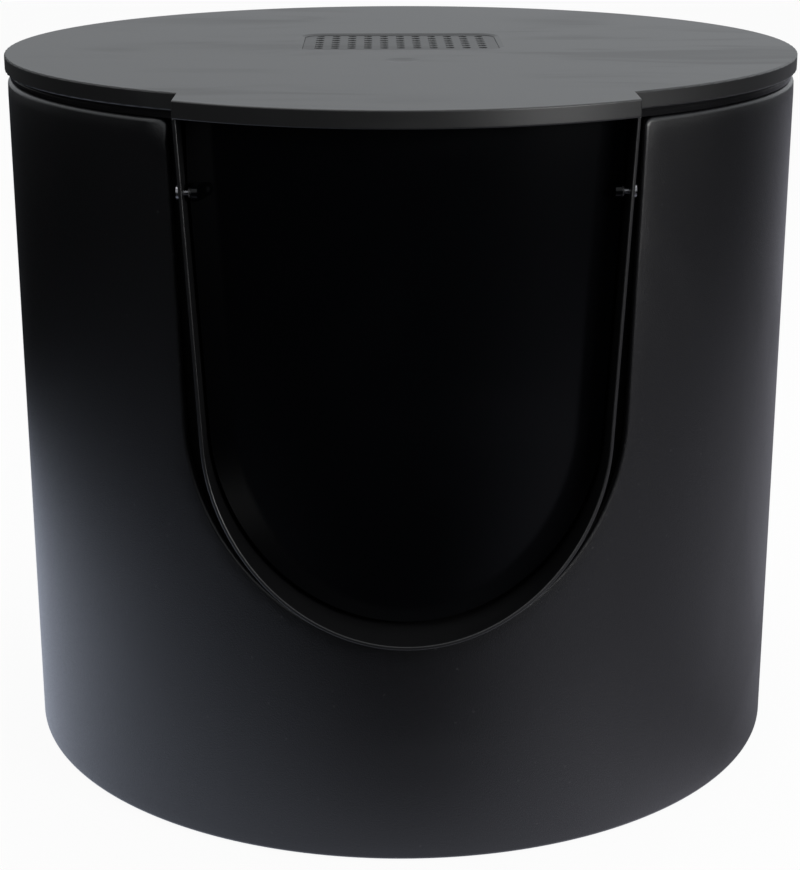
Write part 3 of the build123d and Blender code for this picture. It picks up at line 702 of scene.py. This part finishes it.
def build_stitching(form, settings):
    """Two rows of thread beside the back seam. Each stitch rises from the cover and dips back into it."""
    mesh = bmesh.new()
    margin = settings.roll + settings.stitch_pitch
    rings, sides = 7, 6
    end_share, arch_share = 0.55, 0.45  # of the thread's thickness: at a stitch's ends, added between them
    rise, sink = 0.55, 0.4  # of the stitch above its ends, and of its ends below the cover, in threads
    for side in (-1, 1):
        across = side * (form.half_turn - settings.stitch_offset)
        for foot in spaced(form.low + margin, form.top - margin, settings.stitch_pitch)[:-1]:
            loops = []
            for n in range(rings):
                share = n / (rings - 1)
                arch = math.sin(math.pi * share)
                radius = settings.thread / 2 * (end_share + arch_share * arch)
                height = foot + settings.stitch_length * share
                lift = settings.thread * (rise * arch - sink)
                centre = form.point(across, height, -lift)
                along = Vector((centre.y, -centre.x, 0)).normalized()
                outward = Vector((centre.x, centre.y, 0)).normalized()
                loop = []
                for k in range(sides):
                    turn = 2 * math.pi * k / sides
                    spoke = math.cos(turn) * along + math.sin(turn) * outward
                    loop.append(mesh.verts.new(centre + radius * spoke))
                loops.append(loop)
            for first, second in zip(loops, loops[1:]):
                for k in range(sides):
                    mesh.faces.new((first[k], first[k - 1], second[k - 1], second[k]))
            mesh.faces.new(loops[0])
            mesh.faces.new(reversed(loops[-1]))
    bmesh.ops.recalc_face_normals(mesh, faces=mesh.faces)
    return finished_object("cover_stitching", mesh, thread_material(settings))


class LITTERBOX_OT_cover(Operator):
    """Leatherette cover with turned edges, and the stitched seam at its back"""

    bl_idname = "litter_box.cover"
    bl_label = "Sleeve cover"

    def execute(self, context):
        settings = context.scene.litter_cover
        form, cover = build_cover(settings)
        stitching = build_stitching(form, settings)
        for piece in (cover, stitching):
            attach(piece, "sleeve")
        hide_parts("leather_wrap")
        return {"FINISHED"}


class LITTERBOX_OT_sleeve(Operator):
    """Board tube and base inside the cover, and the rubber feet"""

    bl_idname = "litter_box.sleeve"
    bl_label = "Sleeve frame and feet"

    def execute(self, context):
        dress(("sleeve_core", "base_board"), board_material())
        feet = [name for name in sorted(nodes) if name.startswith("foot_pad")]
        dress(feet, rubber_material())
        return {"FINISHED"}


class LITTERBOX_OT_tub(Operator):
    """Moulded tub and the collar screwed into its doorway"""

    bl_idname = "litter_box.tub"
    bl_label = "Tub and collar"

    def execute(self, context):
        s = context.scene.litter_moulded
        shell = moulded_material("moulded_black", s.shell_colour, s.shell_roughness, s)
        dress(("entry_collar",), shell)
        smooth = moulded_material("tub_black", s.shell_colour, s.tub_roughness, s, smear=0.04, specular=0.3)
        dress(("tub",), smooth)
        return {"FINISHED"}


class LITTERBOX_OT_flap(Operator):
    """Hinged flap"""

    bl_idname = "litter_box.flap"
    bl_label = "Flap"

    def execute(self, context):
        s = context.scene.litter_moulded
        gloss = moulded_material("flap_black", s.flap_colour, s.flap_roughness, s, smear=0.04, specular=0.17)
        dress(("flap",), gloss)
        return {"FINISHED"}


class LITTERBOX_OT_hardware(Operator):
    """Pins, washers, screws and magnets"""

    bl_idname = "litter_box.hardware"
    bl_label = "Hardware"

    def execute(self, context):
        pins_and_screws = ("pivot_pin_left", "pivot_pin_right", "base_screws", "collar_screws")
        dress((*pins_and_screws, "flap_magnet", "sill_magnet"), steel_material())
        dress(("pivot_washer_left", "pivot_washer_right"), nylon_material())
        return {"FINISHED"}


class LITTERBOX_OT_lid(Operator):
    """Lid with its vent panel"""

    bl_idname = "litter_box.lid"
    bl_label = "Lid and vents"

    def execute(self, context):
        s = context.scene.litter_moulded
        dress(("lid",), moulded_material("lid_black", s.lid_colour, s.lid_roughness, s))
        vent = moulded_material("vent_black", s.lid_colour, s.vent_roughness, s, specular=0.45)
        dress(("vent_grille",), vent)
        return {"FINISHED"}


def felt_sag(x, y):
    """Share, from 0 to 1, that the felt's top lies below its highest place: slow swells with fine tufts."""
    swell = 0.5 + 0.25 * (math.sin(83.0 * x + 1.7) + math.cos(97.0 * y + 61.0 * x))
    tufts = 0.5 + 0.5 * math.sin(1900.0 * x + 700.0 * y) * math.cos(1700.0 * y - 500.0 * x)
    return 0.7 * swell + 0.3 * tufts


def build_felt(settings):
    """Slab with softened edges and an uneven top, inside the box of its CAD solid."""
    centre = (FELT_LOW + FELT_HIGH) / 2
    half = (FELT_HIGH - FELT_LOW) / 2
    mesh = bmesh.new()
    bmesh.ops.create_cube(mesh, size=2.0)
    for axis in range(3):
        count = max(1, round(2 * half[axis] / settings.mesh_step)) - 1
        along = [e for e in mesh.edges if abs((e.verts[0].co - e.verts[1].co).normalized()[axis]) > 0.9]
        bmesh.ops.subdivide_edges(mesh, edges=along, cuts=count, use_grid_fill=True)
    core = half - Vector((settings.edge,) * 3)
    for vert in mesh.verts:
        place = Vector([vert.co[axis] * half[axis] for axis in range(3)])
        inner = Vector([max(-core[axis], min(core[axis], place[axis])) for axis in range(3)])
        out = place - inner
        rounded = inner + out.normalized() * min(out.length, settings.edge) if out.length > 0 else place
        if rounded.z > 0:
            rounded.z -= settings.rise * felt_sag(rounded.x, rounded.y)
        vert.co = centre + rounded
    bmesh.ops.recalc_face_normals(mesh, faces=mesh.faces)
    return finished_object("felt_pad", mesh, felt_material(settings))


class LITTERBOX_OT_filter(Operator):
    """Filter tray under the vents and the carbon felt pad in it"""

    bl_idname = "litter_box.filter"
    bl_label = "Filter"

    def execute(self, context):
        s = context.scene.litter_moulded
        tray = moulded_material("tray_black", s.shell_colour, s.shell_roughness, s)
        dress(("filter_tray",), tray)
        felt = build_felt(context.scene.litter_filter)
        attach(felt, "filter")
        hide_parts("carbon_filter")
        return {"FINISHED"}


# ---- stage -------------------------------------------------------------------------------------------
DRUM_EDGE = 0.23  # from the drum's axis to its side
LAMPS = {  # place, target and size
    "overhead": ((0.0, 0.3, 1.9), (0.0, 0.1, 0.2), (1.7, 0.8)),
    "left": ((-1.0, -0.3, 1.5), (0.0, 0.0, 0.35), (0.5, 0.8)),
    "right": ((1.7, -0.3, 0.8), (0.0, 0.0, 0.3), (0.5, 1.0)),
    "front": ((0.87, -1.0, 0.62), (0.0, 0.0, 0.35), (0.55, 0.35)),
}


def painted_floor_reflection(tree):
    """Painted reflection: a glow that the floor gives off to glossy rays only, though it is no lamp. It falls
    off away from the drum, and has another level and reach in front, at each side and behind, with a cool
    tint."""
    place = add_node(tree, "ShaderNodeSeparateXYZ", {0: object_place(tree)})
    x, y = place.outputs["X"], place.outputs["Y"]
    away = maths(tree, "POWER", plus(tree, times(tree, x, x), times(tree, y, y)), 0.5)
    beyond = maths(tree, "MAXIMUM", maths(tree, "SUBTRACT", away, DRUM_EDGE), 0.0)
    around = maths(tree, "ARCTAN2", x, times(tree, y, -1.0))  # 0 in front, positive to the right

    def fade(reach, power):
        """1 beside the drum and about a third at the reach. A higher power ends it more abruptly."""
        ratio = maths(tree, "POWER", maths(tree, "DIVIDE", beyond, reach), power)
        return maths(tree, "EXPONENT", times(tree, ratio, -1.0))

    def glow(level, reach, power):
        return times(tree, fade(reach, power), level)

    def sector(start, end, at_start=0.0, at_end=1.0):
        """Value that changes between two angles, in degrees from the front."""
        return ramp(tree, around, math.radians(start), math.radians(end), at_start, at_end)

    aside = ramp(tree, maths(tree, "ABSOLUTE", around), 0.0, math.radians(50))
    front_reach = plus(tree, times(tree, aside, 0.195), 0.1)
    front_level = plus(tree, times(tree, aside, 0.15), 0.95)
    front = glow(front_level, front_reach, power=1.2)
    left = plus(tree, glow(1.05, reach=0.42, power=3.0), times(tree, sector(-130, -165), 0.035))
    beside_drum = times(tree, fade(reach=0.12, power=1.0), sector(30, 70, 0.7, -0.22))
    right = plus(tree, glow(0.52, reach=1.0, power=2.0), beside_drum)
    rear_level = blend_value(tree, fade(reach=0.8, power=2.0), 0.84, 0.3)
    rear = glow(rear_level, reach=3.0, power=2.0)
    ahead = blend_value(tree, sector(4, 52), front, right)
    flanks = blend_value(tree, sector(-35, -80), ahead, left)
    round_right = blend_value(tree, sector(105, 165), flanks, rear)
    seen = blend_value(tree, sector(-160, -180), round_right, rear)
    # cool tint of the floor's painted reflection glow
    cast = blend_colour(tree, sector(-60, 60), (0.76, 0.83, 1.0), (0.88, 0.88, 1.0))
    return add_node(tree, "ShaderNodeEmission", {"Color": cast, "Strength": seen}).outputs[0]


def floor_material(settings):
    """Floor that is white to the camera with a faint shadow, plain grey to diffuse light, and to glossy rays
    a glowing painted reflection, as painted_floor_reflection gives it."""
    material = bpy.data.materials.new("studio_floor")
    material.use_nodes = True
    tree = material.node_tree
    tree.nodes.clear()
    in_gloss = painted_floor_reflection(tree)
    plain = add_node(tree, "ShaderNodeBsdfDiffuse", {"Color": (0.8, 0.8, 0.8, 1.0)}).outputs[0]
    white = add_node(tree, "ShaderNodeEmission", {"Strength": 1.0}).outputs[0]
    in_view = add_node(tree, "ShaderNodeMixShader", {0: settings.shadow, 1: white, 2: plain}).outputs[0]
    ray = add_node(tree, "ShaderNodeLightPath").outputs
    # glossy rays see the floor's painted reflection glow instead of its plain grey
    other = add_node(tree, "ShaderNodeMixShader", {0: ray["Is Glossy Ray"], 1: plain, 2: in_gloss}).outputs[0]
    result = add_node(tree, "ShaderNodeMixShader", {0: ray["Is Camera Ray"], 1: other, 2: in_view}).outputs[0]
    output = add_node(tree, "ShaderNodeOutputMaterial")
    tree.links.new(result, output.inputs["Surface"])
    return material


def build_world(settings):
    """Surroundings that are white to the camera and even to diffuse light. Gloss sees them bright overhead
    and behind the object, more so towards the right, and dark low down in front."""
    world = bpy.data.worlds.new("studio_surroundings")
    world.use_nodes = True
    bpy.context.scene.world = world
    tree = world.node_tree
    tree.nodes.clear()
    direction = add_node(tree, "ShaderNodeTexCoord").outputs["Generated"]
    way = add_node(tree, "ShaderNodeSeparateXYZ", {0: direction}).outputs
    to_the_right = plus(tree, times(tree, way["X"], 0.5), 1.0)
    behind = times(tree, ramp(tree, way["Y"], 0.3, 0.9, 0.03, 0.8), to_the_right)
    above = ramp(tree, way["Z"], 0.02, 0.45, 0.0, 0.95)
    path = add_node(tree, "ShaderNodeLightPath").outputs
    bright = maths(tree, "MAXIMUM", behind, above)
    unseen = blend_value(tree, path["Is Glossy Ray"], settings.ambient, bright)
    strength = blend_value(tree, path["Is Camera Ray"], unseen, 1.0)
    cast = blend_colour(tree, path["Is Glossy Ray"], (1.0, 1.0, 1.0), (0.93, 0.965, 1.0))
    background = add_node(tree, "ShaderNodeBackground", {"Color": cast, "Strength": strength})
    output = add_node(tree, "ShaderNodeOutputWorld")
    tree.links.new(background.outputs[0], output.inputs["Surface"])


def add_lamp(name, place, target, size, power):
    """Rectangular soft lamp at a place, turned to a target."""
    light = bpy.data.lights.new(name, "AREA")
    light.shape = "RECTANGLE"
    light.size, light.size_y = size
    light.energy = power
    lamp = bpy.data.objects.new(name, light)
    lamp.location = place
    lamp.rotation_euler = (Vector(target) - Vector(place)).to_track_quat("-Z", "Y").to_euler()
    lamp.visible_camera = False
    bpy.context.scene.collection.objects.link(lamp)


class LITTERBOX_OT_stage(Operator):
    """Floor, surroundings, lamps and camera"""

    bl_idname = "litter_box.stage"
    bl_label = "Studio"

    def execute(self, context):
        s = context.scene.litter_stage
        mesh = bmesh.new()
        bmesh.ops.create_grid(mesh, x_segments=1, y_segments=1, size=s.floor_size / 2)
        floor = finished_object("studio_floor", mesh, floor_material(s))
        build_world(s)
        for name, (place, target, size) in LAMPS.items():
            add_lamp(f"lamp_{name}", place, target, size, getattr(s, name))
        camera = bpy.data.cameras.new("studio_camera")
        camera.sensor_width = 36.0
        camera.lens = s.focal
        camera.shift_x, camera.shift_y = s.shift_x, s.shift_y
        holder = bpy.data.objects.new("studio_camera", camera)
        holder.location = (s.distance * math.sin(s.azimuth), -s.distance * math.cos(s.azimuth), s.height)
        holder.rotation_euler = (math.pi / 2 - s.pitch, s.roll, s.azimuth)
        context.scene.collection.objects.link(holder)
        context.scene.camera = holder
        context.scene.view_settings.view_transform = "Standard"
        return {"FINISHED"}


class LITTERBOX_PT_panel(Panel):
    """Lists the steps that dress the litter box"""

    bl_idname = "LITTERBOX_PT_panel"
    bl_label = "Litter box"
    bl_space_type = "VIEW_3D"
    bl_region_type = "UI"
    bl_category = "Litter box"

    def draw(self, context):
        for step in STEPS:
            self.layout.operator(step.bl_idname)


STEPS = (
    LITTERBOX_OT_cover,
    LITTERBOX_OT_sleeve,
    LITTERBOX_OT_tub,
    LITTERBOX_OT_flap,
    LITTERBOX_OT_hardware,
    LITTERBOX_OT_lid,
    LITTERBOX_OT_filter,
    LITTERBOX_OT_stage,
)


def register():
    for kind in (*SETTINGS, *STEPS, LITTERBOX_PT_panel):
        bpy.utils.register_class(kind)
    bpy.types.Scene.litter_cover = PointerProperty(type=CoverSettings)
    bpy.types.Scene.litter_moulded = PointerProperty(type=MouldedSettings)
    bpy.types.Scene.litter_filter = PointerProperty(type=FilterSettings)
    bpy.types.Scene.litter_stage = PointerProperty(type=StageSettings)


def unregister():
    for name in ("litter_cover", "litter_moulded", "litter_filter", "litter_stage"):
        delattr(bpy.types.Scene, name)
    for kind in reversed((*SETTINGS, *STEPS, LITTERBOX_PT_panel)):
        bpy.utils.unregister_class(kind)


def main():
    register()
    bpy.ops.litter_box.cover()
    bpy.ops.litter_box.sleeve()
    bpy.ops.litter_box.tub()
    bpy.ops.litter_box.flap()
    bpy.ops.litter_box.hardware()
    bpy.ops.litter_box.lid()
    bpy.ops.litter_box.filter()
    bpy.ops.litter_box.stage()


if __name__ == "__main__":
    main()
